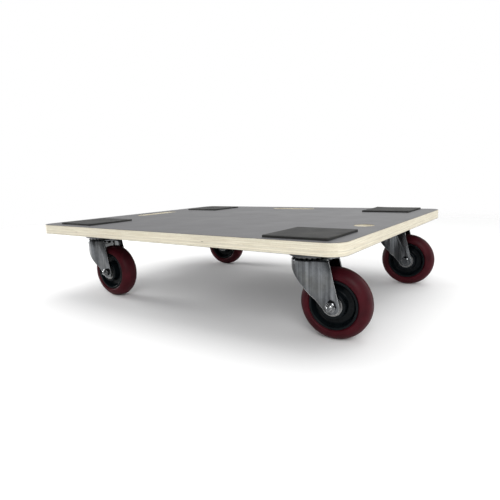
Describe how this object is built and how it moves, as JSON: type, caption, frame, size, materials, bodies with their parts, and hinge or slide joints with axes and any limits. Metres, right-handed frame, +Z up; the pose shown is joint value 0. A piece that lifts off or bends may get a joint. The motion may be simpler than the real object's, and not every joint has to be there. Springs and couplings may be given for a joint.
{
  "type": "platform trolley",
  "caption": "Flat furniture dolly: film-faced plywood deck with hand holes and rubber corner pads, rolling on swivel casters with polyurethane wheels.",
  "frame": {"origin": "on the floor below the centre of the deck", "axes": "+X along the deck's long side, the way the wheels trail; +Y across the deck; +Z up"},
  "size_m": [0.6375, 0.51, 0.149],
  "materials": {
    "plywood": "raw birch plywood edge",
    "film": "smooth phenolic film, satin",
    "pad_rubber": "matt black rubber",
    "zinc": "bright zinc-plated pressed steel",
    "ball_steel": "hardened steel, greased",
    "hub_plastic": "glossy black moulded plastic",
    "polyurethane": "maroon cast polyurethane, satin"
  },
  "bodies": {
    "platform": {"plywood_core": "plywood", "top_film": "film", "bottom_film": "film", "plate_screws": "zinc", "front_left_pad": "pad_rubber", "front_left_top_plate": "zinc", "front_left_kingpin": "zinc", "front_left_lower_race_ring": "zinc", "front_right_pad": "pad_rubber", "front_right_top_plate": "zinc", "front_right_kingpin": "zinc", "front_right_lower_race_ring": "zinc", "back_left_pad": "pad_rubber", "back_left_top_plate": "zinc", "back_left_kingpin": "zinc", "back_left_lower_race_ring": "zinc", "back_right_pad": "pad_rubber", "back_right_top_plate": "zinc", "back_right_kingpin": "zinc", "back_right_lower_race_ring": "zinc"},
    "front_left_swivel": {"front_left_fork": "zinc", "front_left_upper_balls": "ball_steel", "front_left_lower_balls": "ball_steel", "front_left_axle_bolt": "zinc", "front_left_axle_nut": "zinc", "front_left_axle_sleeve": "zinc"},
    "front_left_wheel": {"front_left_hub": "hub_plastic", "front_left_tread": "polyurethane", "front_left_bearings": "ball_steel"},
    "front_right_swivel": {"front_right_fork": "zinc", "front_right_upper_balls": "ball_steel", "front_right_lower_balls": "ball_steel", "front_right_axle_bolt": "zinc", "front_right_axle_nut": "zinc", "front_right_axle_sleeve": "zinc"},
    "front_right_wheel": {"front_right_hub": "hub_plastic", "front_right_tread": "polyurethane", "front_right_bearings": "ball_steel"},
    "back_left_swivel": {"back_left_fork": "zinc", "back_left_upper_balls": "ball_steel", "back_left_lower_balls": "ball_steel", "back_left_axle_bolt": "zinc", "back_left_axle_nut": "zinc", "back_left_axle_sleeve": "zinc"},
    "back_left_wheel": {"back_left_hub": "hub_plastic", "back_left_tread": "polyurethane", "back_left_bearings": "ball_steel"},
    "back_right_swivel": {"back_right_fork": "zinc", "back_right_upper_balls": "ball_steel", "back_right_lower_balls": "ball_steel", "back_right_axle_bolt": "zinc", "back_right_axle_nut": "zinc", "back_right_axle_sleeve": "zinc"},
    "back_right_wheel": {"back_right_hub": "hub_plastic", "back_right_tread": "polyurethane", "back_right_bearings": "ball_steel"}
  },
  "joints": [
    {"name": "front_left_swivel_turn", "type": "hinge", "parent": "platform", "child": "front_left_swivel", "pos_m": [-0.2355, -0.175, 0.109], "axis": [0, 0, 1], "continuous": true},
    {"name": "front_left_wheel_spin", "type": "hinge", "parent": "front_left_swivel", "child": "front_left_wheel", "pos_m": [-0.19851, -0.17435, 0.05], "axis": [-0.0175, 0.9998, 0], "continuous": true},
    {"name": "front_right_swivel_turn", "type": "hinge", "parent": "platform", "child": "front_right_swivel", "pos_m": [0.2355, -0.175, 0.109], "axis": [0, 0, 1], "continuous": true},
    {"name": "front_right_wheel_spin", "type": "hinge", "parent": "front_right_swivel", "child": "front_right_wheel", "pos_m": [0.27236, -0.17178, 0.05], "axis": [-0.0872, 0.9962, 0], "continuous": true},
    {"name": "back_left_swivel_turn", "type": "hinge", "parent": "platform", "child": "back_left_swivel", "pos_m": [-0.2355, 0.175, 0.109], "axis": [0, 0, 1], "continuous": true},
    {"name": "back_left_wheel_spin", "type": "hinge", "parent": "back_left_swivel", "child": "back_left_wheel", "pos_m": [-0.1987, 0.17887, 0.05], "axis": [-0.1045, 0.9945, 0], "continuous": true},
    {"name": "back_right_swivel_turn", "type": "hinge", "parent": "platform", "child": "back_right_swivel", "pos_m": [0.2355, 0.175, 0.109], "axis": [0, 0, 1], "continuous": true},
    {"name": "back_right_wheel_spin", "type": "hinge", "parent": "back_right_swivel", "child": "back_right_wheel", "pos_m": [0.27245, 0.17694, 0.05], "axis": [-0.0523, 0.9986, 0], "continuous": true}
  ]
}
